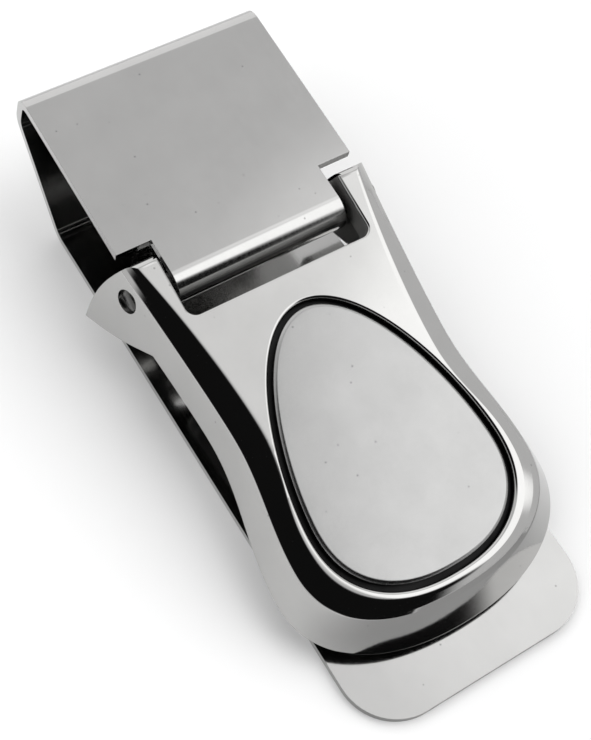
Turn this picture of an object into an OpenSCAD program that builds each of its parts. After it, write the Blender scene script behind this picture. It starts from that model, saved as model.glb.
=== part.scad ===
// Hinged money clip: a bent spring-steel strip with a cast cover hinged to its front leaf.
// Millimetres. The clip lies on its back plate: +Z up, +Y towards the fold, X across.
// The origin is at the middle of the bounding box, on the surface the clip lies on.

/* [Spring strip] */
// Overall length, from the back plate's free end to the outside of the fold
clip_l = 67; // [58:0.5:82]
// Overall height, from the back plate's underside to the top of the fold
clip_h = 15.4; // [14.4:0.1:17]
// Width of the strip
strip_w = 25.4; // [20:0.2:31]
// Thickness of the sheet that the strip is bent from
strip_t = 0.9; // [0.6:0.05:1.1]
// Corner radius at the back plate's free end
plate_corner_r = 5.5; // [2:0.5:7]
// Outer radius of the fold's upper bend
fold_r = 1.9; // [1.5:0.1:2.4]
// Height of the knee, where the fold's upright turns into the slope
knee_h = 10.6; // [9:0.1:11.5]
// Outer radius of the knee and of the heel bend below it
bend_r = 2.5; // [2:0.1:3.5]
// Angle that the upright leans outwards, from the fold down to the knee
upright_lean = 15; // [5:1:20]
// Angle between the slope and the back plate
slope_angle = 55; // [45:1:70]
// Length of the leaf that runs full width, from the fold's outside to the notches
leaf_l = 20; // [16:0.5:24]

/* [Hinge] */
// Distance from the fold's outside to the pin's axis
pin_back = 23.5; // [21:0.5:28]
// Height of the pin's axis above the surface
pin_h = 11.65; // [10.5:0.05:12.5]
// Radius of the hinge pin
pin_r = 1.2; // [0.9:0.05:1.4]
// Radial running clearance of the pin in the barrel
pin_clearance = 0.05; // [0.02:0.01:0.09]
// How far the pin's ends are sunk below the ears' outer faces
pin_sink = 0.7; // [0.3:0.1:1]
// Width of the strip's tongue, which curls into the barrel
tongue_w = 18.1; // [14:0.1:21]
// Gap between the tongue's side and an ear
ear_gap = 0.7; // [0.4:0.1:1]
// Angle left open between the curl's end and the leaf
curl_mouth = 55; // [40:5:90]

/* [Cover] */
// Length of the cover, from its free end to the pin's axis
cover_l = 40; // [36:0.5:46]
// Height of the cover's flat crown above the pin's axis
crown_rise = 2.9; // [2.6:0.1:3.4]
// Depth of the cover, from its crown to its rim
cover_d = 4.6; // [4:0.1:5.5]
// Depth of the bevel around the crown
bevel_d = 1; // [0.6:0.1:1.4]
// Gap between the closed cover's free end and the back plate
end_gap = 1.1; // [0.6:0.1:2]
// Width of the bevel's lip where the cover is widest
lip_wide_w = 25.4; // [22:0.2:29]
// Width of the bevel's lip at the waist
lip_waist_w = 23; // [21.6:0.2:26]
// Width of the bevel's lip at the ears
lip_ear_w = 27; // [25:0.2:30]
// How much further out the rim stands than the lip, where the cover is widest
rim_flare = 1.9; // [1:0.1:2.4]
// How much further out the rim stands than the lip, at the waist and the ears
side_flare = 1.15; // [0.8:0.05:1.4]
// Wall thickness around the hollow underside
wall_t = 1.3; // [1:0.1:1.6]
// Depth from the crown to the ceiling of the hollow underside
ceiling_d = 1.9; // [1.7:0.1:2.4]
// Distance from the pin's axis to the front edge of the barrel slot
slot_front = 4.6; // [4:0.1:6]
// Radius of the barrel slot's corners
slot_corner_r = 1; // [0.5:0.1:1.5]
// Distance from the pin's axis down to the tip of a heel
heel_drop = 6.9; // [6:0.1:7.2]
// Distance from the pin's axis back to the top corner of an ear
ear_reach = 2.05; // [1.9:0.05:2.4]
// How much further back an ear's rear face bulges than its top corner
ear_bulge = 0.95; // [0.5:0.05:1.3]
// Distance from the pin's axis forward to where a cheek meets the rim
cheek_run = 5.2; // [4.8:0.1:6]

/* [Inlay] */
// Length of the egg-shaped recess
recess_l = 27.8; // [22:0.2:30]
// Width of the egg-shaped recess
recess_w = 20.4; // [16:0.2:21]
// Depth of the recess below the crown
recess_d = 0.8; // [0.5:0.05:0.9]
// Distance from the cover's free end to the recess
recess_end = 4.5; // [4.3:0.1:6.5]
// Groove left open around the inlay plate
inlay_gap = 0.55; // [0.3:0.05:0.9]
// Thickness of the inlay plate
inlay_t = 0.9; // [0.6:0.05:1.2]
// Thickness of the adhesive under the inlay plate
adhesive_t = 0.1; // [0.05:0.01:0.15]

/* [Hidden] */

// Round surfaces
ROUND = 96;
// Overshoot of every cutter past the face that it cuts
cut = 1;
// Overlap of neighbouring stretches of the strip, so that they join
lap = 0.02;
// Points on each stretch of the cover's outline: free end, flank and shoulder
END_STEPS = 14;
FLANK_STEPS = 10;
SHOULDER_STEPS = 12;
// Points along the rear face and along the cheek of an ear
EAR_STEPS = 8;

// Strip
barrel_in_r = pin_r + pin_clearance;
barrel_r = barrel_in_r + strip_t;
pin_y = clip_l - pin_back;
notch_y = clip_l - leaf_l;
pin_c = [pin_y, pin_h];
// Where the slope would meet the surface, and the centres of the three bends
heel_y = clip_l - knee_h / tan(slope_angle);
knee_reach = bend_r * tan((90 - slope_angle) / 2);
heel_reach = bend_r * tan(slope_angle / 2);
slope_l = knee_h / sin(slope_angle) - knee_reach - heel_reach;
knee_c = [clip_l - bend_r, knee_h + knee_reach];
heel_c = [heel_y - heel_reach, bend_r];
upright_out = [cos(upright_lean), sin(upright_lean)];
upright_up = [-sin(upright_lean), cos(upright_lean)];
upright_start = knee_c + (bend_r - fold_r) * upright_out;
upright_l = (clip_h - fold_r - upright_start.y) / upright_up.y;
fold_c = upright_start + upright_l * upright_up;
// Angle of the leaf, whose top face is tangent to the barrel and to the fold
leaf_angle = atan2(fold_c.y - pin_c.y, fold_c.x - pin_c.x)
    - asin((barrel_r - fold_r) / norm(fold_c - pin_c));
leaf_run = norm(fold_c - pin_c) * cos(asin((barrel_r - fold_r) / norm(fold_c - pin_c)));

// Cover, in its own frame: origin on the pin's axis, crown parallel to the XY plane
ear_in = tongue_w / 2 + ear_gap;
// Heights of the rim and of the lip, in the cover's frame
rim_z = crown_rise - cover_d;
lip_z = crown_rise - bevel_d;
// The cover leans so that its free end clears the back plate by end_gap
end_drop = pin_h - strip_t - end_gap;
cover_tilt = asin(end_drop / norm([cover_l, rim_z])) - atan2(-rim_z, cover_l);
// The ridge lies between the bevel's two facets: its place from the crown's outline to the lip's
ridge_share = 0.65;
ridge_fall = 0.6;
ridge_z = crown_rise - ridge_fall * bevel_d;
// Inset of the crown's outline from the lip's: at the waist, at the wide end and at an ear
crown_inset = [2.35, 1.85, 0.4];
// Distances along the cover from its free end, for the rim, the lip and the crown
RIM = 0;
LIP = 1;
CROWN = 2;
end_at = [0, 2.6, 3.8];
wide_at = [9.7, 11.3, 13];
waist_at = [24.8, 23.5, 23.2];
// The shoulder's curve runs on past the pin, so that it ends behind the ears
shoulder_past_pin = 6;
ear_at = cover_l + shoulder_past_pin;
// How fast the shoulder opens from the waist to the ears: 1 is a straight line
shoulder_power = [1.3, 1.3, 1.6];
// Fullness of the free end: 2 is an ellipse
end_power = [2.2, 2.25, 2.3];
// Half widths of the three outlines at the wide end, at the waist and at the ears
wide_hw = [lip_wide_w / 2 + rim_flare, lip_wide_w / 2, lip_wide_w / 2 - crown_inset[1]];
waist_hw = [lip_waist_w / 2 + side_flare, lip_waist_w / 2, lip_waist_w / 2 - crown_inset[0]];
ear_hw = [lip_ear_w / 2 + side_flare, lip_ear_w / 2, lip_ear_w / 2 - crown_inset[2]];
// Side view of an ear: its rear face bulges from the top corner down to the heel's tip, and the
// cheek sags a little on its way forward from the tip to the rim
heel_turn = 158;
cheek_sag = 0.5;
heel_tip = [ear_reach + ear_bulge * sin(heel_turn), -heel_drop];
rear_face = [for (i = [0:EAR_STEPS]) let (s = i / EAR_STEPS)
    [ear_reach + ear_bulge * sin(heel_turn * s), crown_rise + (heel_tip.y - crown_rise) * s]];
cheek = [for (i = [1:EAR_STEPS]) let (s = i / EAR_STEPS)
    [heel_tip.x + (-cheek_run - heel_tip.x) * s,
     heel_tip.y + (rim_z - heel_tip.y) * s - cheek_sag * sin(180 * s)]];
// Half width of the ear's outer face at the pin's height
flare_rate = side_flare / (cover_d - bevel_d);
pin_hw = lip_ear_w / 2 + flare_rate * lip_z - pin_sink;
// Inset of the hollow from the lip's outline, for a full wall at the height of the ceiling
hollow_inset = wall_t - flare_rate * (ceiling_d - bevel_d);

// Recess
recess_wide_share = 0.315;
blunt_power = 2.3;
sharp_power = 1.6;
inlay_z = crown_rise - recess_d + adhesive_t;

// Half of an outline of the cover, from the middle of its free end to an ear
function half_outline(k) = concat(
    [for (i = [0:END_STEPS]) let (a = 90 * i / END_STEPS)
        [wide_hw[k] * pow(sin(a), 2 / end_power[k]),
         wide_at[k] - (wide_at[k] - end_at[k]) * pow(cos(a), 2 / end_power[k])]],
    [for (i = [1:FLANK_STEPS]) let (s = i / FLANK_STEPS)
        [waist_hw[k] + (wide_hw[k] - waist_hw[k]) * (1 + cos(180 * s)) / 2,
         wide_at[k] + (waist_at[k] - wide_at[k]) * s]],
    [for (i = [1:SHOULDER_STEPS]) let (s = i / SHOULDER_STEPS)
        [waist_hw[k] + (ear_hw[k] - waist_hw[k]) * pow(s, shoulder_power[k]),
         waist_at[k] + (ear_at - waist_at[k]) * s]]);

// The whole outline: the half and its mirror image, with the origin moved to the pin
function outline(half) = let (last = len(half) - 1) concat(
    [for (p = half) [p.x, p.y - cover_l]],
    [for (i = [last:-1:1]) [-half[i].x, half[i].y - cover_l]]);

function mix_outlines(a, b, share) = [for (i = [0:len(a) - 1]) a[i] + (b[i] - a[i]) * share];

function at_height(points, z) = [for (p = points) [p.x, p.y, z]];

// Egg outline, blunt towards the free end, set in from the recess's edge by a distance
function egg(inset) = let (
    hw = recess_w / 2 - inset,
    wide_y = recess_end + recess_l * recess_wide_share - cover_l,
    blunt = recess_l * recess_wide_share - inset,
    sharp = recess_l * (1 - recess_wide_share) - inset,
    n = 2 * END_STEPS)
    concat(
        [for (i = [-n:n - 1]) let (a = 90 * i / n)
            [hw * sign(a) * pow(abs(sin(a)), 2 / blunt_power),
             wide_y - blunt * pow(cos(a), 2 / blunt_power)]],
        [for (i = [-n:n - 1]) let (a = 90 * i / n)
            [-hw * sin(a), wide_y + sharp * pow(cos(a), 2 / sharp_power)]]);

// Moves a solid from the strip's frame, which starts at the free end, to the clip's origin
module in_place() {
    translate([0, -clip_l / 2, 0]) children();
}

// Extrudes a side view, drawn as [y, z], across the full width given
module across(width) {
    translate([-width / 2, 0, 0])
        rotate([90, 0, 90])
            linear_extrude(height = width) children();
}

// A bend of the sheet in side view: a ring sector from one angle to another
module bend(centre, outer_r, from, to) {
    reach = 4 * outer_r;
    steps = 6;
    translate(centre)
        intersection() {
            difference() {
                circle(r = outer_r, $fn = ROUND);
                circle(r = outer_r - strip_t, $fn = ROUND);
            }
            polygon(concat([[0, 0]], [for (i = [0:steps])
                let (a = from + (to - from) * i / steps) reach * [cos(a), sin(a)]]));
        }
}

// A flat stretch of the sheet that leaves the bend at a centre: its outer face looks to one side
module flat_run(centre, outer_r, outward, length) {
    translate(centre)
        rotate(outward)
            translate([outer_r - strip_t, -lap])
                square([strip_t, length + 2 * lap]);
}

module strip_side_view() {
    // Leaf, fold, upright, knee, slope, heel bend and back plate
    translate(fold_c)
        rotate(leaf_angle)
            translate([-leaf_run - lap, fold_r - strip_t])
                square([leaf_run + 2 * lap, strip_t]);
    bend(fold_c, fold_r, upright_lean, 90 + leaf_angle);
    flat_run(knee_c, bend_r, upright_lean, upright_l);
    bend(knee_c, bend_r, slope_angle - 90, upright_lean);
    flat_run(heel_c, bend_r, slope_angle - 90, slope_l);
    bend(heel_c, bend_r, -90, slope_angle - 90);
    square([heel_c.x + lap, strip_t]);
}

// The tongue's curl around the pin, open between its end and the leaf's underside
module barrel_side_view() {
    bend(pin_c, barrel_r, 90 + leaf_angle, 450 + leaf_angle - curl_mouth);
}

module spring_strip() {
    notch_w = (strip_w - tongue_w) / 2;
    color("lightsteelblue")
        in_place()
            difference() {
                union() {
                    across(strip_w) strip_side_view();
                    across(tongue_w) barrel_side_view();
                }
                for (side = [-1, 1]) {
                    // Square notch beside the tongue
                    translate([side * (tongue_w + notch_w + cut) / 2, notch_y / 2, clip_h / 2 + barrel_r])
                        cube([notch_w + cut, notch_y, clip_h], center = true);
                    // Rounded corner of the back plate
                    translate([side * (strip_w / 2 - plate_corner_r), plate_corner_r, -cut])
                        difference() {
                            translate([side > 0 ? 0 : -2 * plate_corner_r, -2 * plate_corner_r, 0])
                                cube([2 * plate_corner_r, 2 * plate_corner_r, strip_t + 2 * cut]);
                            translate([0, 0, -cut])
                                cylinder(r = plate_corner_r, h = strip_t + 4 * cut, $fn = ROUND);
                        }
                }
            }
}

// Moves a solid from the cover's frame to its closed place on the clip
module on_hinge() {
    in_place()
        translate([0, pin_y, pin_h])
            rotate([cover_tilt, 0, 0]) children();
}

// Solid through a stack of outlines that have the same number of points
module loft(layers) {
    n = len(layers[0]);
    top = len(layers) - 1;
    points = [for (layer = layers) for (p = layer) p];
    sides = [for (k = [0:top - 1]) for (i = [0:n - 1]) let (
            a = k * n + i,
            b = k * n + (i + 1) % n)
        each [[a, b + n, b], [a, a + n, b + n]]];
    polyhedron(points, concat(
        sides,
        [[for (i = [0:n - 1]) i]],
        [[for (i = [n - 1:-1:0]) top * n + i]]));
}

// Outside of the cover carried down past the heels, with its flanks flared outwards
module cover_envelope() {
    rim = outline(half_outline(RIM));
    lip = outline(half_outline(LIP));
    crown = outline(half_outline(CROWN));
    deep_z = -heel_drop - cut;
    deep_share = (lip_z - deep_z) / (lip_z - rim_z);
    loft([
        at_height(mix_outlines(lip, rim, deep_share), deep_z),
        at_height(lip, lip_z),
        at_height(mix_outlines(crown, lip, ridge_share), ridge_z),
        at_height(crown, crown_rise)]);
}

// Side view of the cover: a bar with an ear and its pointed heel behind it
module cover_side_view() {
    front = -cover_l - cut;
    polygon(concat([[front, crown_rise]], rear_face, cheek, [[front, rim_z]]));
}

// Plan of the slot for the barrel, open between the ears, with rounded front corners
module slot_plan() {
    back = ear_reach + ear_bulge + cut;
    translate([-ear_in, -slot_front + slot_corner_r])
        square([2 * ear_in, back + slot_front - slot_corner_r]);
    translate([-ear_in + slot_corner_r, -slot_front])
        square([2 * (ear_in - slot_corner_r), 2 * slot_corner_r]);
    for (side = [-1, 1])
        translate([side * (ear_in - slot_corner_r), -slot_front + slot_corner_r])
            circle(r = slot_corner_r, $fn = ROUND);
}

// Plan of the hollow underside: the lip's outline set in by the wall, ending before the slot
module hollow_plan() {
    web_y = -slot_front - wall_t;
    intersection() {
        polygon([for (p = outline(half_outline(LIP)))
            [p.x - sign(p.x) * min(abs(p.x), hollow_inset), p.y]]);
        translate([-ear_in, -cover_l + end_at[LIP] + wall_t])
            square([2 * ear_in, cover_l - end_at[LIP] - wall_t + web_y]);
    }
}

module front_cover() {
    color("gainsboro")
        on_hinge()
            difference() {
                intersection() {
                    cover_envelope();
                    across(2 * strip_w) cover_side_view();
                }
                // Slot for the barrel
                translate([0, 0, -heel_drop - cut])
                    linear_extrude(height = heel_drop + crown_rise + 2 * cut) slot_plan();
                // Hollow underside
                translate([0, 0, rim_z - cut])
                    linear_extrude(height = cover_d - ceiling_d + cut) hollow_plan();
                // Recess for the inlay
                translate([0, 0, crown_rise - recess_d])
                    linear_extrude(height = recess_d + cut) polygon(egg(0));
                // Pin holes through both ears
                translate([-strip_w, 0, 0])
                    rotate([0, 90, 0])
                        cylinder(r = pin_r, h = 2 * strip_w, $fn = ROUND);
            }
}

module hinge_pin() {
    color("dimgray")
        on_hinge()
            translate([-pin_hw, 0, 0])
                rotate([0, 90, 0])
                    cylinder(r = pin_r, h = 2 * pin_hw, $fn = ROUND);
}

module inlay_adhesive() {
    color("khaki")
        on_hinge()
            translate([0, 0, crown_rise - recess_d])
                linear_extrude(height = adhesive_t) polygon(egg(inlay_gap + adhesive_t));
}

module inlay_plate() {
    color("silver")
        on_hinge()
            translate([0, 0, inlay_z])
                linear_extrude(height = inlay_t) polygon(egg(inlay_gap));
}

spring_strip();
front_cover();
hinge_pin();
inlay_adhesive();
inlay_plate();
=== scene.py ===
"""Hinged money clip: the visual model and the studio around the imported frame.

Shapes are worked out in millimetres and scaled to metres when their mesh is made. The strip lies in
the frame's own axes. The cover and its inlay are drawn in the cover's frame, whose origin is on the
pin's axis and whose XY plane is parallel to the flat crown, and are then tilted onto the hinge.
"""
import math

import bmesh
import bpy
import numpy as np
from mathutils import Matrix, Vector


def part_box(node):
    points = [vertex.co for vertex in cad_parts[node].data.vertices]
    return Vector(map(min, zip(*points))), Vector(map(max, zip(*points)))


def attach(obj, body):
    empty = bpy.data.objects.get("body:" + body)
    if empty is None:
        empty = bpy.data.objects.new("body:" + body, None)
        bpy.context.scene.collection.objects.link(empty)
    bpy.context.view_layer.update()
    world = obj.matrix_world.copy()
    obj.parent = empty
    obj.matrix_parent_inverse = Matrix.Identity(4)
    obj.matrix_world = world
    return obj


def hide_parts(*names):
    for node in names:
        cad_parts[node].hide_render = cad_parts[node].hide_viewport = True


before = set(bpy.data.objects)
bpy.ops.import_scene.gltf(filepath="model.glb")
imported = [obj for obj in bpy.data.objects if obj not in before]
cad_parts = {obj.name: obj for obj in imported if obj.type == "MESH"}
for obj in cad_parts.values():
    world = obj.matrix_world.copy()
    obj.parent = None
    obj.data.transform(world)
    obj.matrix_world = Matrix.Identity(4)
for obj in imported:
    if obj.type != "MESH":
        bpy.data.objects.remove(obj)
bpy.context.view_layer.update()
MM = 0.001

# ---------------------------------------------------------------- sizes, in millimetres
strip_low, strip_high = (np.array(corner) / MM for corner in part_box("spring_strip"))
pin_low, pin_high = (np.array(corner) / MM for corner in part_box("hinge_pin"))
PIN = (pin_low + pin_high) / 2
PIN_R = (pin_high[2] - pin_low[2]) / 2
PIN_HALF = pin_high[0]

# Spring strip
STRIP_W = strip_high[0] - strip_low[0]
CLIP_L = strip_high[1] - strip_low[1]
CLIP_H = strip_high[2]
STRIP_T = 0.9
PLATE_CORNER_R = 5.5
FOLD_R = 1.9
KNEE_H = 10.6
BEND_R = 2.5
UPRIGHT_LEAN = 15
SLOPE_ANGLE = 55
LEAF_L = 20
TONGUE_W = 18.1
PIN_CLEARANCE = 0.05
CURL_MOUTH = 55
STRIP_EDGE = 0.26
STRIP_EDGE_ANGLE = 50
STRIP_EDGE_STEPS = 3
# Rows of points: degrees apart in a bend, millimetres apart on a straight, rows in a plate corner,
# and the least distances from that corner, from the notch and from the sheet's edges
BEND_STEP = 5
STRAIGHT_STEP = 2.5
CORNER_ROWS = 19
PAST_CORNER = 0.5
BESIDE_NOTCH = 0.4
BESIDE_EDGE = 0.6
NOTCH_SEARCH = 4000

# Cover: the free end is at -COVER_L and the ears stand behind the pin
COVER_L = 40
CROWN_RISE = 2.9
COVER_D = 4.6
BEVEL_D = 1
END_GAP = 1.1
LIP_WIDE_W = 25.4
LIP_WAIST_W = 23
LIP_EAR_W = 27
RIM_FLARE = 1.9
SIDE_FLARE = 1.15
WALL_T = 1.3
CEILING_D = 1.9
SLOT_FRONT = 4.6
SLOT_CORNER_R = 1
EAR_GAP = 0.7
HEEL_DROP = 6.9
EAR_REACH = 2.05
EAR_BULGE = 0.95
CHEEK_RUN = 5.2
HEEL_TURN = 158
CHEEK_SAG = 0.5
RIM, LIP, CROWN = 0, 1, 2
CROWN_INSET = [2.35, 1.85, 0.4]
END_AT = [0, 2.6, 3.8]
WIDE_AT = [9.7, 11.3, 13]
WAIST_AT = [24.8, 23.5, 23.2]
EAR_AT = COVER_L + 6
SHOULDER_POWER = [1.3, 1.3, 1.6]
END_POWER = [2.2, 2.25, 2.3]
RIDGE_SHARE = 0.65
RIDGE_FALL = 0.6
# Roundings of the cover's long edges, as the distance each one takes from its corner
CROWN_ROUND = 0.35
RIDGE_ROUND = 0.12
LIP_ROUND = 0.14
RIM_ROUND = 0.2
EDGE = 0.12
SLOT_EDGE = 0.26
RECESS_EDGE = 0.36
REAR_EDGE = 0.7
# Points in those roundings
CROWN_STEPS, RIDGE_STEPS, LIP_STEPS, RIM_STEPS, EDGE_STEPS, REAR_EDGE_STEPS = 6, 4, 5, 5, 5, 8
# Turns of a cutter's flare near the crown, in degrees, and how far the cutter stands above it
FLARE_TURNS = [0, 20, 40, 60, 78]
FLARE_ABOVE = 0.3
# How far a cutter runs past what it cuts
CUT_PAST = 1
# Hollow underside: corner radii, (outset, height above the rim) at its mouth, and the turns and
# radius of its ceiling's fillet
HOLLOW_FRONT_R = 5
HOLLOW_BACK_R = 1.6
HOLLOW_MOUTH = [(0.5, -0.4), (0.12, 0), (0, 0.15)]
HOLLOW_TURNS = [0, 22, 45, 67, 90]
HOLLOW_FILLET = 0.7
# Broken inner edges of the ears: points on each, where the cheek's one ends, and how far the cutter
# runs past its ends and stands off its sides
EAR_EDGE_POINTS = 20
CHEEK_EDGE_END = 0.12
EAR_EDGE_PAST = 0.4
EAR_EDGE_SPARE = 0.3
# Share of the ear's rear that sets the direction of its top edge's rounding
REAR_SAMPLE = 0.1
REAR_STRETCH = 3
ARC_POINTS = 13
HOLE_SIDES = 64

# Hinge pin: (share of its radius, distance in from its end) over its domed ends
PIN_DOME = [(0, 0), (0.5, 0.03), (0.8, 0.1), (0.95, 0.22), (1, 0.4)]
PIN_TIP_R = 0.02
PIN_SIDES = 48

# Inlay
RECESS_L = 27.8
RECESS_W = 20.4
RECESS_D = 0.8
RECESS_END = 4.5
INLAY_GAP = 0.55
INLAY_T = 0.9
ADHESIVE_T = 0.1
WIDE_SHARE = 0.315
BLUNT_POWER = 2.3
SHARP_POWER = 1.6
DOME_RISE = 0.14
DOME_REACH = 7.6
DOME_STEPS = 14
# The plate's side and bevel, up to the start of the dome: (distance below the rim, inset). Then its
# small bevel at the bottom.
INLAY_BEVEL = [(0.24, 0), (0.18, 0.03), (0.05, 0.22), (0.015, 0.3), (0, 0.4)]
INLAY_FOOT = 0.06

RIM_Z = CROWN_RISE - COVER_D
LIP_Z = CROWN_RISE - BEVEL_D
RIDGE_Z = CROWN_RISE - RIDGE_FALL * BEVEL_D
EAR_IN = TONGUE_W / 2 + EAR_GAP
WIDE_HW = [LIP_WIDE_W / 2 + RIM_FLARE, LIP_WIDE_W / 2, LIP_WIDE_W / 2 - CROWN_INSET[1]]
WAIST_HW = [LIP_WAIST_W / 2 + SIDE_FLARE, LIP_WAIST_W / 2, LIP_WAIST_W / 2 - CROWN_INSET[0]]
EAR_HW = [LIP_EAR_W / 2 + SIDE_FLARE, LIP_EAR_W / 2, LIP_EAR_W / 2 - CROWN_INSET[2]]
INLAY_Z = CROWN_RISE - RECESS_D + ADHESIVE_T
end_drop = PIN[2] - STRIP_T - END_GAP
COVER_TILT = math.asin(end_drop / math.hypot(COVER_L, RIM_Z)) - math.atan2(-RIM_Z, COVER_L)

# Mesh and shading: the distance in metres that merges points, the cosine of the largest angle in
# one flat patch, the angles in degrees above which an edge is sharp, and the most of a side that
# a rounding may take
MERGE_DIST = 1e-8
SAME_PLANE = math.cos(math.radians(0.1))
CAST_SHARP = 32
SMALL_SHARP = 40
MAX_ROUND_SHARE = 0.45


# ---------------------------------------------------------------- mesh helpers
def mix(a, b, share):
    return a + (b - a) * share


def on_hinge(points):
    """Points of the cover's frame, in millimetres, moved to the closed cover's place."""
    c, s = math.cos(COVER_TILT), math.sin(COVER_TILT)
    turned = np.column_stack([points[:, 0], c * points[:, 1] - s * points[:, 2],
                              s * points[:, 1] + c * points[:, 2]])
    return turned + PIN


def new_piece(name, points, faces, *materials):
    """A mesh object from points in millimetres, with outward normals."""
    mesh = bpy.data.meshes.new(name)
    for material in materials:
        mesh.materials.append(material)
    mesh.from_pydata((np.asarray(points) * MM).tolist(), [], [list(map(int, f)) for f in faces])
    bm = bmesh.new()
    bm.from_mesh(mesh)
    bmesh.ops.remove_doubles(bm, verts=bm.verts, dist=MERGE_DIST)
    bmesh.ops.recalc_face_normals(bm, faces=bm.faces)
    bm.to_mesh(mesh)
    bm.free()
    piece = bpy.data.objects.new(name, mesh)
    bpy.context.scene.collection.objects.link(piece)
    return piece


def loop_stack(layers):
    """Points and faces of a solid through closed outlines that have the same number of points.
    Its last two faces are the caps, at the first layer and at the last."""
    n = len(layers[0])
    points = np.concatenate(layers)
    faces = [(k * n + i, k * n + (i + 1) % n, (k + 1) * n + (i + 1) % n, (k + 1) * n + i)
             for k in range(len(layers) - 1) for i in range(n)]
    top = (len(layers) - 1) * n
    faces += [tuple(range(n)), tuple(range(top, top + n))]
    return points, faces


def at_height(outline, z):
    return np.column_stack([outline, np.full(len(outline), z)])


def apply_modifiers(piece):
    """Bakes the piece's modifiers into its mesh."""
    depsgraph = bpy.context.evaluated_depsgraph_get()
    made = bpy.data.meshes.new_from_object(piece.evaluated_get(depsgraph))
    piece.modifiers.clear()
    piece.data = made


def cut_away(piece, cutter):
    """Cuts the cutter out of the piece. The faces that it leaves keep the cutter's materials."""
    cut = piece.modifiers.new("cut", "BOOLEAN")
    cut.operation = "DIFFERENCE"
    cut.solver = "EXACT"
    cut.material_mode = "TRANSFER"
    cut.object = cutter
    apply_modifiers(piece)
    bpy.data.objects.remove(cutter)


def flat_patch_areas(bm):
    """For each face, the area of the whole flat patch that it is part of."""
    areas = [0.0] * len(bm.faces)
    seen = set()
    for seed in bm.faces:
        if seed.index in seen:
            continue
        seen.add(seed.index)
        patch, queue = [], [seed]
        while queue:
            face = queue.pop()
            patch.append(face)
            for other in (f for edge in face.edges for f in edge.link_faces):
                if other.index not in seen and seed.normal.dot(other.normal) > SAME_PLANE:
                    seen.add(other.index)
                    queue.append(other)
        total = sum(face.calc_area() for face in patch)
        for face in patch:
            areas[face.index] = total
    return areas


def corner_groups(vert, limit):
    """The face corners at a vertex, in groups that no sharp edge divides."""
    groups = [[loop] for loop in vert.link_loops]
    for edge in vert.link_edges:
        sides = edge.link_faces
        if len(sides) == 2 and sides[0].normal.dot(sides[1].normal) > limit:
            pair = [g for g in groups if any(loop.face in sides for loop in g)]
            groups = [g for g in groups if g not in pair] + [sum(pair, [])]
    return groups


def smooth_by_angle(piece, degrees):
    """Smooth shading with sharp edges kept. A flat face stays flat right up to its fillets, because
    each face counts by the area of the flat patch that it is part of."""
    mesh = piece.data
    bm = bmesh.new()
    bm.from_mesh(mesh)
    areas = flat_patch_areas(bm)
    loops = [loop for face in bm.faces for loop in face.loops]
    number = {loop: i for i, loop in enumerate(loops)}
    normals = [(0, 0, 1)] * len(number)
    for vert in bm.verts:
        for group in corner_groups(vert, math.cos(math.radians(degrees))):
            normal = sum((loop.face.normal * areas[loop.face.index] * loop.calc_angle()
                          for loop in group), Vector())
            for loop in group:
                shown = normal.normalized() if normal.length else loop.face.normal
                normals[number[loop]] = tuple(shown)
    bm.free()
    mesh.polygons.foreach_set("use_smooth", [True] * len(mesh.polygons))
    mesh.set_sharp_from_angle(angle=math.radians(degrees))
    mesh.normals_split_custom_set(normals)


def rounded_corner(before, corner, after, reach, steps):
    """Points of a small curve that rounds a corner, taking reach from each side."""
    a = before - corner
    b = after - corner
    a_len, b_len = np.linalg.norm(a), np.linalg.norm(b)
    start = corner + a * min(reach / a_len, MAX_ROUND_SHARE)
    end = corner + b * min(reach / b_len, MAX_ROUND_SHARE)
    t = np.linspace(0, 1, steps)[:, None]
    return (1 - t) ** 2 * start + 2 * t * (1 - t) * corner + t ** 2 * end


# ---------------------------------------------------------------- cover
END_STEPS, FLANK_STEPS, SHOULDER_STEPS, EAR_STEPS, REAR_STEPS = 44, 30, 16, 30, 10
FLANK_ROWS = 8
# How much the ear's columns crowd together towards the heel's tip
EAR_CROWDING = 1.6
shoulder_start = np.array(WAIST_AT) - COVER_L
shoulder_end = EAR_AT - COVER_L
# Share of the shoulder at which the rim meets the cheek
CHEEK_SHARE = (-CHEEK_RUN - shoulder_start[RIM]) / (shoulder_end - shoulder_start[RIM])


def half_outline(k):
    """Half of one of the cover's outlines, from the free end's middle to the start of the cheek."""
    a = np.radians(np.linspace(0, 90, END_STEPS + 1))
    end = np.column_stack([
        WIDE_HW[k] * np.sin(a) ** (2 / END_POWER[k]),
        WIDE_AT[k] - (WIDE_AT[k] - END_AT[k]) * np.abs(np.cos(a)) ** (2 / END_POWER[k])])
    s = np.arange(1, FLANK_STEPS + 1) / FLANK_STEPS
    flank = np.column_stack([
        WAIST_HW[k] + (WIDE_HW[k] - WAIST_HW[k]) * (1 + np.cos(np.pi * s)) / 2,
        mix(WIDE_AT[k], WAIST_AT[k], s)])
    s = np.arange(1, SHOULDER_STEPS + 1) / SHOULDER_STEPS * CHEEK_SHARE
    shoulder = np.column_stack([
        mix(WAIST_HW[k], EAR_HW[k], s ** SHOULDER_POWER[k]), mix(WAIST_AT[k], EAR_AT, s)])
    half = np.concatenate([end, flank, shoulder]) - [0, COVER_L]
    return even_out(half)


def even_out(half, passes=8):
    """Softens the joints between stretches of an outline, so that reflections flow over them."""
    for _ in range(passes):
        padded = np.concatenate([half[1:2] * [-1, 1], half])
        half = np.concatenate([(padded[:-2] + 2 * padded[1:-1] + padded[2:]) / 4, half[-1:]])
    return half


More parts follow.
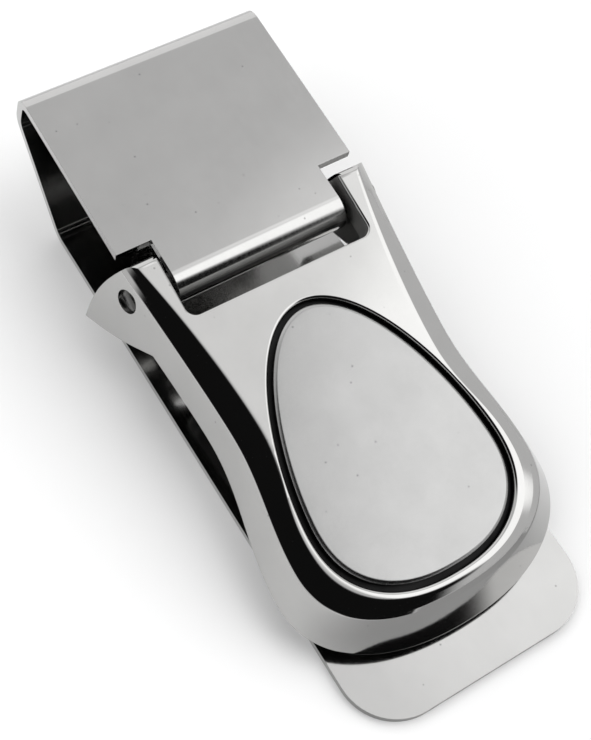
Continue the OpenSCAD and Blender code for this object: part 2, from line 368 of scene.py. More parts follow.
def shoulder_x(a, b, share, y):
    """Half width of the cover behind its waist, at y, on a line between two of its outlines."""
    start = mix(shoulder_start[a], shoulder_start[b], share)
    s = (y - start) / (shoulder_end - start)
    x_a = mix(WAIST_HW[a], EAR_HW[a], s ** SHOULDER_POWER[a])
    x_b = mix(WAIST_HW[b], EAR_HW[b], s ** SHOULDER_POWER[b])
    return mix(x_a, x_b, share)


HEEL_TIP = np.array([EAR_REACH + EAR_BULGE * math.sin(math.radians(HEEL_TURN)), -HEEL_DROP])


def cheek_point(s):
    """[y, z] on the ear's lower edge, from the rim at 0 to the heel's tip at 1."""
    start = np.array([-CHEEK_RUN, RIM_Z])
    return mix(start, HEEL_TIP, s) - [0, CHEEK_SAG * math.sin(math.pi * s)]


def rear_y(t):
    """Place of the ear's rear face, from the crown at 0 to the heel's tip at 1."""
    return EAR_REACH + EAR_BULGE * np.sin(np.radians(HEEL_TURN * np.asarray(t)))


def profile_rows(crown, ridge, lip, flank, inward, under):
    """One column of the cover's outside: the crown's edge, both facets, the flank and the rim."""
    return np.concatenate([
        rounded_corner(crown + inward, crown, ridge, CROWN_ROUND, CROWN_STEPS),
        rounded_corner(crown, ridge, lip, RIDGE_ROUND, RIDGE_STEPS),
        rounded_corner(ridge, lip, flank[0], LIP_ROUND, LIP_STEPS),
        flank[:-1],
        rounded_corner(flank[-2], flank[-1], flank[-1] + under, RIM_ROUND, RIM_STEPS)])


def body_columns():
    """Columns from the middle of the free end to the start of the cheek."""
    rim, lip, crown = (half_outline(k) for k in (RIM, LIP, CROWN))
    ridge = mix(crown, lip, RIDGE_SHARE)
    columns = []
    for i in range(len(rim)):
        flank = [np.append(mix(lip[i], rim[i], q), mix(LIP_Z, RIM_Z, q))
                 for q in np.arange(1, FLANK_ROWS + 1) / FLANK_ROWS]
        inward = np.append(crown[i] - lip[i], 0)
        inward /= np.linalg.norm(inward)
        columns.append(profile_rows(
            np.append(crown[i], CROWN_RISE), np.append(ridge[i], RIDGE_Z),
            np.append(lip[i], LIP_Z), np.array(flank), inward, inward))
    return columns


def ear_columns():
    """Columns along an ear. Its lower edge is the cheek, and its last column is its rear edge."""
    top_start = mix(shoulder_start[CROWN], shoulder_end, CHEEK_SHARE)
    bulge_end = EAR_BULGE * math.sin(math.radians(HEEL_TURN))
    inward = np.array([-1.0, 0, 0])
    columns = []
    for i in range(1, EAR_STEPS + 1):
        tau = 1 - (1 - i / EAR_STEPS) ** EAR_CROWDING
        low_y, low_z = cheek_point(tau)
        top_y = mix(top_start, EAR_REACH, tau)

        def side(z):
            t = (CROWN_RISE - z) / (CROWN_RISE - low_z)
            bulge = EAR_BULGE * math.sin(math.radians(HEEL_TURN) * t) - t * bulge_end
            return mix(top_y, low_y, t) + tau ** 2 * bulge

        def outside(z, a, b, share):
            y = side(z)
            return np.array([shoulder_x(a, b, share, y), y, z])

        flank = [outside(z, LIP, RIM, (LIP_Z - z) / (LIP_Z - RIM_Z))
                 for z in mix(LIP_Z, low_z, np.arange(1, FLANK_ROWS + 1) / FLANK_ROWS)]
        columns.append(profile_rows(
            outside(CROWN_RISE, CROWN, CROWN, 0), outside(RIDGE_Z, CROWN, LIP, RIDGE_SHARE),
            outside(LIP_Z, LIP, LIP, 0), np.array(flank), inward, inward))
    return columns


def rear_columns(edge, before):
    """Columns across the back, from a rounded rear edge to the middle."""
    rows = len(edge)
    top_x = edge[0][0]
    inner_x = top_x - 2 * EDGE
    corner = []
    for j in range(rows):
        inside = edge[j] - [edge[j][0] - inner_x, 0, 0]
        corner.append(rounded_corner(before[j], edge[j], inside, EDGE, EDGE_STEPS))
    corner = np.array(corner)
    columns = [corner[:, k] for k in range(corner.shape[1])]
    for x in np.linspace(inner_x, 0, REAR_STEPS):
        columns.append(np.column_stack([np.full(rows, x), edge[:, 1], edge[:, 2]]))
    return columns


def cover_block():
    """The cover's outside as one block, before anything is cut out of it."""
    half = body_columns() + ear_columns()
    edge, before = half[-1], half[-2]
    half = half[:-1] + rear_columns(edge, before)
    half[0][:, 0] = 0
    n_ladder = END_STEPS + FLANK_STEPS + SHOULDER_STEPS + EAR_STEPS + 1
    rows, n = len(half[0]), len(half)
    columns = half + [c * [-1, 1, 1] for c in half[-2:0:-1]]
    total = len(columns)
    faces = []
    for i in range(total):
        for j in range(rows - 1):
            k = (i + 1) % total
            faces.append((i * rows + j, k * rows + j, k * rows + j + 1, i * rows + j + 1))

    def mirrored(i):
        return i if i in (0, n - 1) else total - i

    for row in (0, rows - 1):
        for i in range(n_ladder - 1):
            ring = [i, i + 1, mirrored(i + 1), mirrored(i)]
            faces.append(tuple(dict.fromkeys(c * rows + row for c in ring)))
        faces.append(tuple(c * rows + row for c in range(n_ladder - 1, total - n_ladder + 2)))
    return np.concatenate(columns), faces


def flared(outline, reach):
    """Layers of a cutter near the crown, flared so that it leaves an edge rounded by reach."""
    turns = np.radians(FLARE_TURNS)
    layers = [at_height(outline(reach * (1 - math.cos(a))), CROWN_RISE - reach * (1 - math.sin(a)))
              for a in turns]
    spread = reach * (1 - math.cos(turns[-1])) + FLARE_ABOVE * math.tan(turns[-1])
    return layers + [at_height(outline(spread), CROWN_RISE + FLARE_ABOVE)]


def slot_outline(grow):
    """Plan of the slot for the barrel, open between the ears."""
    r = SLOT_CORNER_R + grow
    x, front, back = EAR_IN + grow, -SLOT_FRONT - grow, EAR_REACH + EAR_BULGE + CUT_PAST
    arc = np.radians(np.linspace(0, 90, ARC_POINTS))
    right = np.column_stack([x - r + r * np.cos(arc), front + r - r * np.sin(arc)])
    return np.concatenate([[[x, back]], right, right[::-1] * [-1, 1], [[-x, back]]])


def slot_cutter():
    low = [at_height(slot_outline(0), z) for z in (-HEEL_DROP - CUT_PAST, 0)]
    return low + flared(slot_outline, SLOT_EDGE)


def egg(inset, steps=40):
    """Egg outline of the recess, blunt towards the free end, set in by a distance."""
    hw = RECESS_W / 2 - inset
    wide_y = RECESS_END + RECESS_L * WIDE_SHARE - COVER_L
    blunt = RECESS_L * WIDE_SHARE - inset
    sharp = RECESS_L * (1 - WIDE_SHARE) - inset
    a = np.radians(np.linspace(-90, 90, 2 * steps + 1)[:-1])
    sine, cosine = np.sin(a), np.abs(np.cos(a))
    low = np.column_stack([hw * np.sign(sine) * np.abs(sine) ** (2 / BLUNT_POWER),
                           wide_y - blunt * cosine ** (2 / BLUNT_POWER)])
    high = np.column_stack([-hw * sine, wide_y + sharp * cosine ** (2 / SHARP_POWER)])
    return np.concatenate([low, high])


def recess_cutter():
    return [at_height(egg(0), CROWN_RISE - RECESS_D)] + flared(lambda grow: egg(-grow), RECESS_EDGE)


def hollow_outline(inset):
    """Plan of the hollow underside: a long rounded opening inside the walls."""
    x = EAR_IN - inset
    front, back = -COVER_L + END_AT[LIP] + WALL_T + inset, -SLOT_FRONT - WALL_T - inset
    r_front, r_back = HOLLOW_FRONT_R - inset, HOLLOW_BACK_R - inset / 2
    arc = np.radians(np.linspace(0, 90, ARC_POINTS))
    low = np.column_stack([x - r_front + r_front * np.sin(arc),
                           front + r_front - r_front * np.cos(arc)])
    high = np.column_stack([x - r_back + r_back * np.cos(arc),
                            back - r_back + r_back * np.sin(arc)])
    right = np.concatenate([low, high])
    return np.concatenate([right, right[::-1] * [-1, 1]])


def hollow_cutter():
    layers = [at_height(hollow_outline(-outset), RIM_Z + rise) for outset, rise in HOLLOW_MOUTH]
    for a in np.radians(HOLLOW_TURNS):
        height = CROWN_RISE - CEILING_D - HOLLOW_FILLET * (1 - math.sin(a))
        layers.append(at_height(hollow_outline(HOLLOW_FILLET * (1 - math.cos(a))), height))
    return layers


def edge_cutter(path, side):
    """A thin prism that breaks the inner edge of an ear along a path of [y, z] points."""
    path = np.array(path)
    along = np.gradient(path, axis=0)
    along /= np.linalg.norm(along, axis=1)[:, None]
    path = np.concatenate([path[:1] - EAR_EDGE_PAST * along[:1], path,
                           path[-1:] + EAR_EDGE_PAST * along[-1:]])
    along = np.concatenate([along[:1], along, along[-1:]])
    out = np.column_stack([along[:, 1], -along[:, 0]])
    spare = EAR_EDGE_SPARE
    corners = [(EAR_IN - spare, -EDGE - spare), (EAR_IN + EDGE + spare, spare),
               (EAR_IN - spare, spare)]
    return [np.array([[side * x, *(p + n * d)] for x, d in corners]) for p, n in zip(path, out)]


def rear_edge_cutter():
    """Rounds the ears' rear edge, where the crown turns down over the hinge."""
    corner = np.array([EAR_REACH, CROWN_RISE])
    along_crown = corner - [CHEEK_RUN, 0]
    down_rear = np.array([rear_y(REAR_SAMPLE), mix(CROWN_RISE, HEEL_TIP[1], REAR_SAMPLE)])
    down_rear = corner + (down_rear - corner) * REAR_STRETCH
    curve = rounded_corner(along_crown, corner, down_rear, REAR_EDGE, REAR_EDGE_STEPS)
    outside = np.array([curve[-1] + [1, 0], corner + [1, 1], curve[0] + [0, 1]])
    outline = np.concatenate([curve, outside])
    return [np.column_stack([np.full(len(outline), x), outline]) for x in (-STRIP_W, STRIP_W)]


def ring(x, r, sides):
    """A circle around the pin's axis, in the plane at x."""
    a = np.linspace(0, 2 * np.pi, sides, endpoint=False)
    return np.column_stack([np.full(sides, x), r * np.cos(a), r * np.sin(a)])


def pin_hole_cutter():
    return [ring(x, PIN_R, HOLE_SIDES) for x in (-STRIP_W, STRIP_W)]


def make_cover(plating, inside, recess_painted_shade, slot_wall):
    """The cover: its block with the pin hole, slot, recess and hollow cut out and its edges broken.
    The pin hole comes first: cut after the slot, it left a stray disc across one ear's hole."""
    points, faces = cover_block()
    cover = new_piece("cover_shell", on_hinge(points), faces, plating)
    rear = [(float(rear_y(t)), mix(CROWN_RISE, HEEL_TIP[1], t))
            for t in np.linspace(0, 1, EAR_EDGE_POINTS)]
    cheek = [tuple(cheek_point(s)) for s in np.linspace(1, CHEEK_EDGE_END, EAR_EDGE_POINTS)]
    # Each cutter with the finishes that it leaves, from its lowest band upwards. The last finish
    # goes on to the cutter's top, and the first is on its bottom cap.
    # The inside finish, on the slot's lowest band and in the hollow, is darkened as painted shade.
    cutters = [(pin_hole_cutter(), plating), (slot_cutter(), inside, slot_wall, plating),
               # The recess's lowest band and its floor are near black as painted shade.
               (recess_cutter(), recess_painted_shade, plating), (hollow_cutter(), inside),
               (rear_edge_cutter(), plating)]
    for side in (1, -1):
        for path in (rear, cheek):
            cutters.append((edge_cutter(path, side), plating))
    for layers, *finishes in cutters:
        points, faces = loop_stack(layers)
        cutter = new_piece("cutter", on_hinge(points), faces, *finishes)
        bands = [min(i // len(layers[0]), len(finishes) - 1) for i in range(len(faces))]
        bands[-2] = 0
        cutter.data.polygons.foreach_set("material_index", bands)
        cut_away(cover, cutter)
    smooth_by_angle(cover, CAST_SHARP)
    return cover


# ---------------------------------------------------------------- inlay, pin
def make_inlay(finish):
    """The inlay plate: a small bevel round its edge and a slightly domed face."""
    top = INLAY_Z + INLAY_T
    rim = top - DOME_RISE / 2
    steps = [(INLAY_Z, INLAY_FOOT), (INLAY_Z + INLAY_FOOT, 0)]
    steps += [(rim - drop, inset) for drop, inset in INLAY_BEVEL]
    dome_start = INLAY_BEVEL[-1][1]
    for s in np.arange(1, DOME_STEPS + 1) / DOME_STEPS:
        steps.append((rim + DOME_RISE * (1 - (1 - s) ** 2), mix(dome_start, DOME_REACH, s)))
    points, faces = loop_stack([at_height(egg(INLAY_GAP + inset), z) for z, inset in steps])
    inlay = new_piece("inlay_plate_bevelled", on_hinge(points), faces, finish)
    smooth_by_angle(inlay, SMALL_SHARP)
    return inlay


def make_pin(finish):
    """The hinge pin, with domed ends."""
    right = [(max(PIN_R * share, PIN_TIP_R), PIN_HALF - back) for share, back in PIN_DOME]
    profile = [(r, -x) for r, x in right] + right[::-1]
    points, faces = loop_stack([ring(x, r, PIN_SIDES) for r, x in profile])
    pin = new_piece("hinge_pin_domed", points + PIN, faces, finish)
    smooth_by_angle(pin, SMALL_SHARP)
    return pin


# ---------------------------------------------------------------- spring strip
def strip_path():
    """Stretches of the strip's middle line, from the back plate's free end to the end of the curl:
    (length, turn in degrees), with a turn of 0 on a straight stretch."""
    half = STRIP_T / 2
    heel_y = CLIP_L - KNEE_H / math.tan(math.radians(SLOPE_ANGLE))
    knee_reach = BEND_R * math.tan(math.radians((90 - SLOPE_ANGLE) / 2))
    heel_reach = BEND_R * math.tan(math.radians(SLOPE_ANGLE / 2))
    slope_l = KNEE_H / math.sin(math.radians(SLOPE_ANGLE)) - knee_reach - heel_reach
    lean = math.radians(UPRIGHT_LEAN)
    start = np.array([CLIP_L - BEND_R, KNEE_H + knee_reach])
    start += (BEND_R - FOLD_R) * np.array([math.cos(lean), math.sin(lean)])
    upright_l = (CLIP_H - FOLD_R - start[1]) / math.cos(lean)
    fold = start + upright_l * np.array([-math.sin(lean), math.cos(lean)])
    barrel_r = PIN_R + PIN_CLEARANCE + STRIP_T
    gap = fold - np.array([PIN[1] + CLIP_L / 2, PIN[2]])
    taper = math.asin((barrel_r - FOLD_R) / np.linalg.norm(gap))
    leaf_angle = math.degrees(math.atan2(gap[1], gap[0]) - taper)
    leaf_run = np.linalg.norm(gap) * math.cos(taper)

    def arc(outer_r, degrees):
        return (outer_r - half) * math.radians(degrees), degrees

    knee_turn = 90 - SLOPE_ANGLE + UPRIGHT_LEAN
    return [(heel_y - heel_reach, 0), arc(BEND_R, SLOPE_ANGLE), (slope_l, 0),
            arc(BEND_R, knee_turn), (upright_l, 0), arc(FOLD_R, 90 - UPRIGHT_LEAN + leaf_angle),
            (leaf_run, 0), arc(barrel_r, 360 - CURL_MOUTH)]


def place_on_path(path, u):
    """Point and inward normal, as [y, z], at a distance u along the strip's middle line."""
    p, heading = np.array([-CLIP_L / 2, STRIP_T / 2]), 0.0
    for length, turn in path:
        run = min(u, length)
        angle = math.radians(turn) * run / length
        if turn:
            r = length / math.radians(turn)
            centre = p + r * np.array([-math.sin(heading), math.cos(heading)])
            heading += angle
            p = centre - r * np.array([-math.sin(heading), math.cos(heading)])
        else:
            p = p + run * np.array([math.cos(heading), math.sin(heading)])
        u -= run
        if u <= 1e-9:
            break
    return p, np.array([-math.sin(heading), math.cos(heading)])


def strip_stations(path):
    """Distances along the strip at which it has a row of points, and the strip's whole length.
    The rows are close together in the bends and in the back plate's rounded corners."""
    corner = PLATE_CORNER_R * (1 - np.cos(np.radians(np.linspace(0, 90, CORNER_ROWS))))
    stations, done = list(corner), 0.0
    for length, turn in path:
        spans = abs(turn) / BEND_STEP if turn else length / STRAIGHT_STEP
        count = max(2, math.ceil(spans))
        stations += [s for s in np.linspace(done, done + length, count + 1)
                     if s > PLATE_CORNER_R + PAST_CORNER]
        done += length
    return stations, done


LEAF = 6  # place of the leaf among the stretches of strip_path()


def make_strip(finish):
    """The spring strip: a grid of points on both faces of the sheet, with the notches left out."""
    path = strip_path()
    stations, total = strip_stations(path)
    leaf_start = sum(length for length, _ in path[:LEAF])
    leaf_front = next(u for u in np.linspace(leaf_start, total, NOTCH_SEARCH)
                      if place_on_path(path, u)[0][0] < CLIP_L / 2 - LEAF_L)
    stations = sorted([s for s in stations if abs(s - leaf_front) > BESIDE_NOTCH] + [leaf_front])
    notch = stations.index(leaf_front)
    half, tongue = STRIP_W / 2, TONGUE_W / 2
    right = np.array([tongue / 2, tongue - BESIDE_EDGE, tongue, (half + tongue) / 2,
                      half - BESIDE_EDGE, half])
    rows = np.concatenate([-right[::-1], [0], right])
    points, index, faces = [], {}, []
    for i, u in enumerate(stations):
        (y, z), normal = place_on_path(path, u)
        corner = max(PLATE_CORNER_R - u, 0)
        width = half - PLATE_CORNER_R + math.sqrt(PLATE_CORNER_R ** 2 - corner ** 2)
        for j, x in enumerate(rows):
            if i > notch and abs(x) > tongue + 1e-6:
                continue
            for k, lift in enumerate((-STRIP_T / 2, STRIP_T / 2)):
                index[i, j, k] = len(points)
                points.append((x * width / half, y + normal[0] * lift, z + normal[1] * lift))
    # A cell is a patch of sheet between two rows of points and two lines along the strip
    cells = {(i, j) for i in range(len(stations) - 1) for j in range(len(rows) - 1)
             if all((i + a, j + b, 0) in index for a in (0, 1) for b in (0, 1))}
    for i, j in cells:
        for k in (0, 1):
            faces.append([index[i, j, k], index[i + 1, j, k],
                          index[i + 1, j + 1, k], index[i, j + 1, k]])
        sides = {(i, j - 1): ((i, j), (i + 1, j)), (i, j + 1): ((i, j + 1), (i + 1, j + 1)),
                 (i - 1, j): ((i, j), (i, j + 1)), (i + 1, j): ((i + 1, j), (i + 1, j + 1))}
        for neighbour, (a, b) in sides.items():
            if neighbour not in cells:
                faces.append([index[(*a, 0)], index[(*b, 0)], index[(*b, 1)], index[(*a, 1)]])
    strip = new_piece("spring_strip_rounded", points, faces, finish)
    edges = strip.modifiers.new("edges", "BEVEL")
    edges.width = STRIP_EDGE * MM
    edges.segments = STRIP_EDGE_STEPS
    edges.limit_method = "ANGLE"
    edges.angle_limit = math.radians(STRIP_EDGE_ANGLE)
    apply_modifiers(strip)
    smooth_by_angle(strip, SMALL_SHARP)
    return strip


# ---------------------------------------------------------------- materials
# Noise is read between these values, which most of it lies between
NOISE_LOW, NOISE_HIGH = 0.3, 0.7
# Slow changes of colour, per metre; then the depth of the relief, in millimetres
CLOUD_SCALE = 180.0
RELIEF_D = 0.05
# Pits: spacing in millimetres, where one's edge starts and ends as shares of it, and how dark it is
PIT_SPACING = 1.9
PIT_INNER, PIT_OUTER = 0.03, 0.075
PIT_TONE = 0.68
# Glue: slow changes between two dark tones
GLUE_CLOUD = 600.0
GLUE_ROUGHNESS = 0.7
GLUE_DARK, GLUE_LIGHT = (0.012, 0.012, 0.013, 1), (0.05, 0.048, 0.045, 1)


def node(tree, kind, **settings):
    """A new shader node. Each setting is one of its properties or else one of its inputs."""
    made = tree.nodes.new(kind)
    for name, value in settings.items():
        if name in made.bl_rna.properties:
            setattr(made, name, value)
        else:
            made.inputs[name].default_value = value
    return made


def specks(tree, place, tint):
    """Sparse pits of about a tenth of a millimetre, as a darkening of the colour."""
    cells = node(tree, "ShaderNodeTexVoronoi", Scale=1 / (PIT_SPACING * MM))
    tree.links.new(place.outputs["Object"], cells.inputs["Vector"])
    depth = node(tree, "ShaderNodeMapRange")
    depth.inputs["From Min"].default_value = PIT_INNER
    depth.inputs["From Max"].default_value = PIT_OUTER
    depth.inputs["To Min"].default_value = PIT_TONE
    tree.links.new(cells.outputs["Distance"], depth.inputs["Value"])
    pitted = node(tree, "ShaderNodeMix", data_type="RGBA", blend_type="MULTIPLY")
    pitted.inputs["Factor"].default_value = 1.0
    tree.links.new(tint.outputs["Color"], pitted.inputs["A"])
    tree.links.new(depth.outputs["Result"], pitted.inputs["B"])
    return pitted.outputs["Result"]


def metal(name, colour, roughness, spread, grain, grain_size, bump, stretch=(1, 1, 1)):
    """Bare metal: slow changes of colour, fine grain in gloss and relief, and sparse pits.
    Spread and grain are the shares by which colour and roughness vary, grain_size is in
    millimetres, and a stretch below 1 draws the grain out along an axis."""
    material = bpy.data.materials.new(name)
    material.use_nodes = True
    tree = material.node_tree
    shader = tree.nodes["Principled BSDF"]
    shader.inputs["Metallic"].default_value = 1.0
    place = node(tree, "ShaderNodeTexCoord")
    scaled = node(tree, "ShaderNodeMapping", Scale=stretch)
    tree.links.new(place.outputs["Object"], scaled.inputs["Vector"])
    cloud = node(tree, "ShaderNodeTexNoise", Scale=CLOUD_SCALE, Detail=4.0, Roughness=0.6)
    fine = node(tree, "ShaderNodeTexNoise", Scale=1.0 / (grain_size * MM), Detail=3.0,
                Roughness=0.65)
    tree.links.new(place.outputs["Object"], cloud.inputs["Vector"])
    tree.links.new(scaled.outputs["Vector"], fine.inputs["Vector"])
    tint = node(tree, "ShaderNodeValToRGB")
    tint.color_ramp.elements[0].position = NOISE_LOW
    tint.color_ramp.elements[1].position = NOISE_HIGH
    tint.color_ramp.elements[0].color = [c * (1 - spread) for c in colour] + [1]
    tint.color_ramp.elements[1].color = [min(c * (1 + spread), 1) for c in colour] + [1]
    tree.links.new(cloud.outputs["Fac"], tint.inputs["Fac"])
    tree.links.new(specks(tree, place, tint), shader.inputs["Base Color"])
    gloss = node(tree, "ShaderNodeMapRange")
    gloss.inputs["From Min"].default_value = NOISE_LOW
    gloss.inputs["From Max"].default_value = NOISE_HIGH
    gloss.inputs["To Min"].default_value = roughness * (1 - grain)
    gloss.inputs["To Max"].default_value = roughness * (1 + grain)
    tree.links.new(fine.outputs["Fac"], gloss.inputs["Value"])
    tree.links.new(gloss.outputs["Result"], shader.inputs["Roughness"])
    relief = node(tree, "ShaderNodeBump", Strength=bump, Distance=RELIEF_D * MM)
    tree.links.new(fine.outputs["Fac"], relief.inputs["Height"])
    tree.links.new(relief.outputs["Normal"], shader.inputs["Normal"])
    return material


def adhesive_film():
    """The dark, matt glue under the inlay plate."""
    material = bpy.data.materials.new("adhesive_film")
    material.use_nodes = True
    tree = material.node_tree
    shader = tree.nodes["Principled BSDF"]
    shader.inputs["Roughness"].default_value = GLUE_ROUGHNESS
    place = node(tree, "ShaderNodeTexCoord")
    cloud = node(tree, "ShaderNodeTexNoise", Scale=GLUE_CLOUD, Detail=3.0)
    tint = node(tree, "ShaderNodeValToRGB")
    tint.color_ramp.elements[0].color = GLUE_DARK
    tint.color_ramp.elements[1].color = GLUE_LIGHT
    tree.links.new(place.outputs["Object"], cloud.inputs["Vector"])
    tree.links.new(cloud.outputs["Fac"], tint.inputs["Fac"])
    tree.links.new(tint.outputs["Color"], shader.inputs["Base Color"])
    return material


# ---------------------------------------------------------------- studio
# In metres from here on
FLOOR_TONE, SHADE_TONE = 0.9, 0.48
FLOOR_HALF = 3.0
# The front shade: its edges, its height over the floor, and where it fades in across X and Y
SHADE_X, SHADE_Y, SHADE_Z = (-0.06, 0.2), (-0.25, -0.018), 0.00005
SHADE_FADE_X, SHADE_FADE_Y = (-0.045, -0.008), (-0.022, -0.038)
SKY_BASE = 0.95
# Patches of the sky: direction, angle of the even core, angle where it ends, brightness
SKY_PATCHES = [
    ((0.33, 0.93, 0.15), 43, 46.5, 1.45),
    ((0.40, -0.08, 0.91), 8, 27, 1.42),
    ((0.45, 0.16, 0.88), 3, 12, 1.75),
    ((0.62, -0.38, 0.69), 27, 31, 2.2),
    ((-0.10, -0.90, 0.42), 26, 37, 0.01),
    ((-0.45, -0.60, 0.66), 20, 32, 0.01),
    ((-0.60, -0.05, 0.80), 24, 36, 0.01),
]
# Lamps: name, place, power in watts. They light the floor and are kept out of reflections.
LAMPS = [("overhead_softbox", (0.0, 0.1, 0.45), 0.25), ("left_softbox", (-0.4, 0.0, 0.3), 1.2)]
LAMP_SIZE = (0.5, 0.5)
# The camera: place and aim in millimetres, roll in degrees, and lengths in pixels of the photograph
CAMERA_AT, CAMERA_AIM = (-43.93, -45.59, 119.35), (-1.467, -1.075, 6.0)
CAMERA_ROLL = 13.343
IMAGE_W, FOCAL = 591, 1366.7
SENSOR_W = 36


def sky_light(patches, base):
    """A studio sky: soft patches of light and dark around given directions, over an even tone."""
    world = bpy.data.worlds.new("studio_sky")
    bpy.context.scene.world = world
    world.use_nodes = True
    tree = world.node_tree
    background = tree.nodes["Background"]
    place = node(tree, "ShaderNodeTexCoord")
    colour = None
    for direction, inner, outer, value in patches:
        towards = Vector(direction).normalized()
        dot = node(tree, "ShaderNodeVectorMath", operation="DOT_PRODUCT")
        dot.inputs[1].default_value = towards
        tree.links.new(place.outputs["Generated"], dot.inputs[0])
        share = smooth_range(tree, dot.outputs["Value"], math.cos(math.radians(outer)),
                             math.cos(math.radians(inner)))
        blend = node(tree, "ShaderNodeMix", data_type="RGBA")
        tree.links.new(share, blend.inputs["Factor"])
        if colour is None:
            blend.inputs["A"].default_value = (base, base, base, 1)
        else:
            tree.links.new(colour, blend.inputs["A"])
        blend.inputs["B"].default_value = (value, value, value, 1)
        colour = blend.outputs["Result"]
    tree.links.new(colour, background.inputs["Color"])


def smooth_range(tree, value, start, end):
    """A smooth step from 0 to 1 while the value goes from start to end."""
    step = node(tree, "ShaderNodeMapRange", interpolation_type="SMOOTHSTEP")
    step.inputs["From Min"].default_value = start
    step.inputs["From Max"].default_value = end
    tree.links.new(value, step.inputs["Value"])
    return step.outputs["Result"]


def flat_sheet(name, across, along, z):
    """A level rectangle, from its limits in X and in Y."""
    (left, right), (front, back) = across, along
    mesh = bpy.data.meshes.new(name)
    mesh.from_pydata([(left, front, z), (right, front, z), (right, back, z), (left, back, z)], [],
                     [(0, 1, 2, 3)])
    sheet = bpy.data.objects.new(name, mesh)
    bpy.context.scene.collection.objects.link(sheet)
    return sheet


def make_front_shade():
    """A grey sheet on the floor before the free end, which fades into the floor. Neither the camera
    nor the floor's own light sees it, so it shows only as a tone that the metal mirrors."""
    shade = flat_sheet("front_shade", SHADE_X, SHADE_Y, SHADE_Z)
    shade.visible_camera = shade.visible_diffuse = shade.visible_shadow = False
    material = bpy.data.materials.new("front_shade")
    material.use_nodes = True
    tree = material.node_tree
    shader = tree.nodes["Principled BSDF"]
    shader.inputs["Roughness"].default_value = 1.0
    shader.inputs["Specular IOR Level"].default_value = 0.0
    place = node(tree, "ShaderNodeTexCoord")
    parts = node(tree, "ShaderNodeSeparateXYZ")
    tree.links.new(place.outputs["Object"], parts.inputs["Vector"])
    both = node(tree, "ShaderNodeMath", operation="MULTIPLY")
    tree.links.new(smooth_range(tree, parts.outputs["X"], *SHADE_FADE_X), both.inputs[0])
    tree.links.new(smooth_range(tree, parts.outputs["Y"], *SHADE_FADE_Y), both.inputs[1])
    tint = node(tree, "ShaderNodeMix", data_type="RGBA")
    tint.inputs["A"].default_value = (FLOOR_TONE, FLOOR_TONE, FLOOR_TONE, 1)
    tint.inputs["B"].default_value = (SHADE_TONE, SHADE_TONE, SHADE_TONE, 1)
    tree.links.new(both.outputs["Value"], tint.inputs["Factor"])
    tree.links.new(tint.outputs["Result"], shader.inputs["Base Color"])
    shade.data.materials.append(material)


def floor_lamp(name, centre, power):
    """A soft lamp aimed at the object, which reflections don't see."""
    light = bpy.data.lights.new(name, "AREA")
    light.shape = "RECTANGLE"
    light.size, light.size_y = LAMP_SIZE
    light.energy = power
    lamp = bpy.data.objects.new(name, light)
    bpy.context.scene.collection.objects.link(lamp)
    lamp.location = centre
    lamp.rotation_euler = (Vector((0, 0, 0)) - Vector(centre)).to_track_quat("-Z", "Y").to_euler()
    lamp.visible_glossy = False


def make_floor():
    """The plain pale floor."""
    floor = flat_sheet("floor", (-FLOOR_HALF, FLOOR_HALF), (-FLOOR_HALF, FLOOR_HALF), 0)
    material = bpy.data.materials.new("floor_paper")
    material.use_nodes = True
    shader = material.node_tree.nodes["Principled BSDF"]
    shader.inputs["Base Color"].default_value = (FLOOR_TONE, FLOOR_TONE, FLOOR_TONE, 1)
    shader.inputs["Roughness"].default_value = 0.9
    shader.inputs["Specular IOR Level"].default_value = 0.1
    floor.data.materials.append(material)


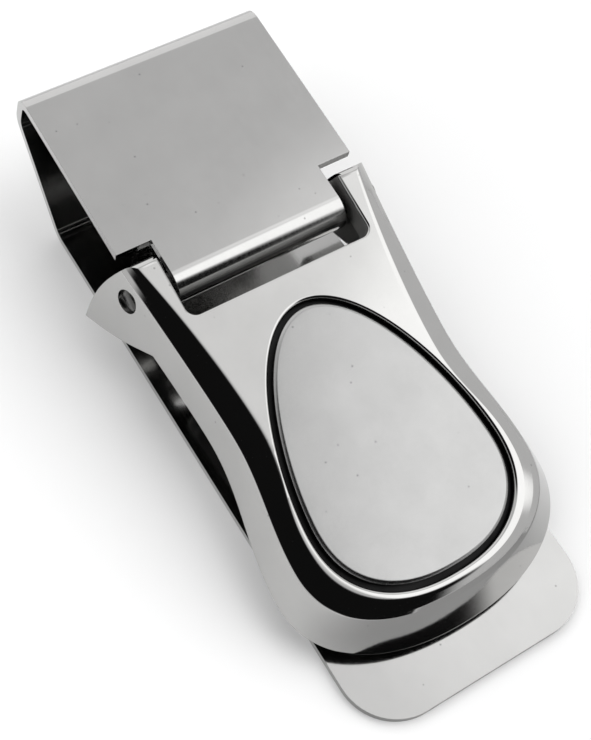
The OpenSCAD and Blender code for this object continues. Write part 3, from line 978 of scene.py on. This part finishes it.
def make_camera():
    """The photograph's camera."""
    at, aim = Vector(CAMERA_AT) * MM, Vector(CAMERA_AIM) * MM
    data = bpy.data.cameras.new("camera")
    data.sensor_fit = "HORIZONTAL"
    data.sensor_width = SENSOR_W
    data.lens = SENSOR_W * FOCAL / IMAGE_W
    data.clip_start = 0.005
    data.clip_end = 20
    camera = bpy.data.objects.new("camera", data)
    bpy.context.scene.collection.objects.link(camera)
    roll = Matrix.Rotation(math.radians(CAMERA_ROLL), 3, "Z")
    turned = (aim - at).to_track_quat("-Z", "Y").to_matrix() @ roll
    camera.matrix_world = Matrix.Translation(at) @ turned.to_4x4()
    bpy.context.scene.camera = camera


# ---------------------------------------------------------------- the scene
def join(piece, body, slot, *nodes):
    """Lets a piece stand for CAD nodes and move with a body. The slot is not used."""
    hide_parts(*nodes)
    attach(piece, body)


# Each metal: colour, roughness, spread of colour, grain and grain size, then relief and stretch
polished = metal("polished_nickel", (0.42, 0.418, 0.412), 0.07, 0.03, 0.35, 0.25, bump=0.01)
# Cast finish inside the slot and the hollow: its roughness is the casting's own, and its darker
# colour is painted shade for the gaps and the underside
cast_inside_painted_shade = metal("cast_inside_painted_shade", (0.2, 0.198, 0.195), 0.45, 0.1, 0.2, 0.15, bump=0.2)
slot_wall = metal("matt_slot_wall", (0.44, 0.438, 0.43), 0.55, 0.08, 0.2, 0.15, bump=0.15)
# Near black as painted shade: the recess's wall and floor round the inlay carry the dark ring of
# shade, not a blackened finish
recess_painted_shade = metal("recess_wall_painted_shade", (0.012, 0.012, 0.012), 0.4, 0.3, 0.2, 0.1, bump=0.1)
sheet_steel = metal("bright_spring_steel", (0.42, 0.418, 0.413), 0.12, 0.03, 0.3, 0.12,
                    bump=0.015, stretch=(1, 0.06, 0.06))
satin = metal("satin_steel", (0.325, 0.325, 0.322), 0.23, 0.045, 0.25, 0.06, bump=0.12)
# Near black as painted shade: the pin's ends sit in the shadowed holes of the ears
pin_steel = metal("drawn_pin_painted_shade", (0.08, 0.079, 0.077), 0.3, 0.08, 0.3, 0.08,
                  bump=0.08, stretch=(0.1, 1, 1))

join(make_strip(sheet_steel), "clip_body", "strip_steel", "spring_strip")
join(make_cover(polished, cast_inside_painted_shade, recess_painted_shade, slot_wall), "cover", "cover_plating", "front_cover")
join(make_pin(pin_steel), "cover", "pin_steel", "hinge_pin")
join(make_inlay(satin), "cover", "inlay_satin", "inlay_plate")
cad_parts["inlay_adhesive"].data.materials.clear()
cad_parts["inlay_adhesive"].data.materials.append(adhesive_film())

make_floor()
sky_light(SKY_PATCHES, SKY_BASE)
for lamp in LAMPS:
    floor_lamp(*lamp)
make_front_shade()
make_camera()
bpy.context.scene.view_settings.view_transform = "Standard"
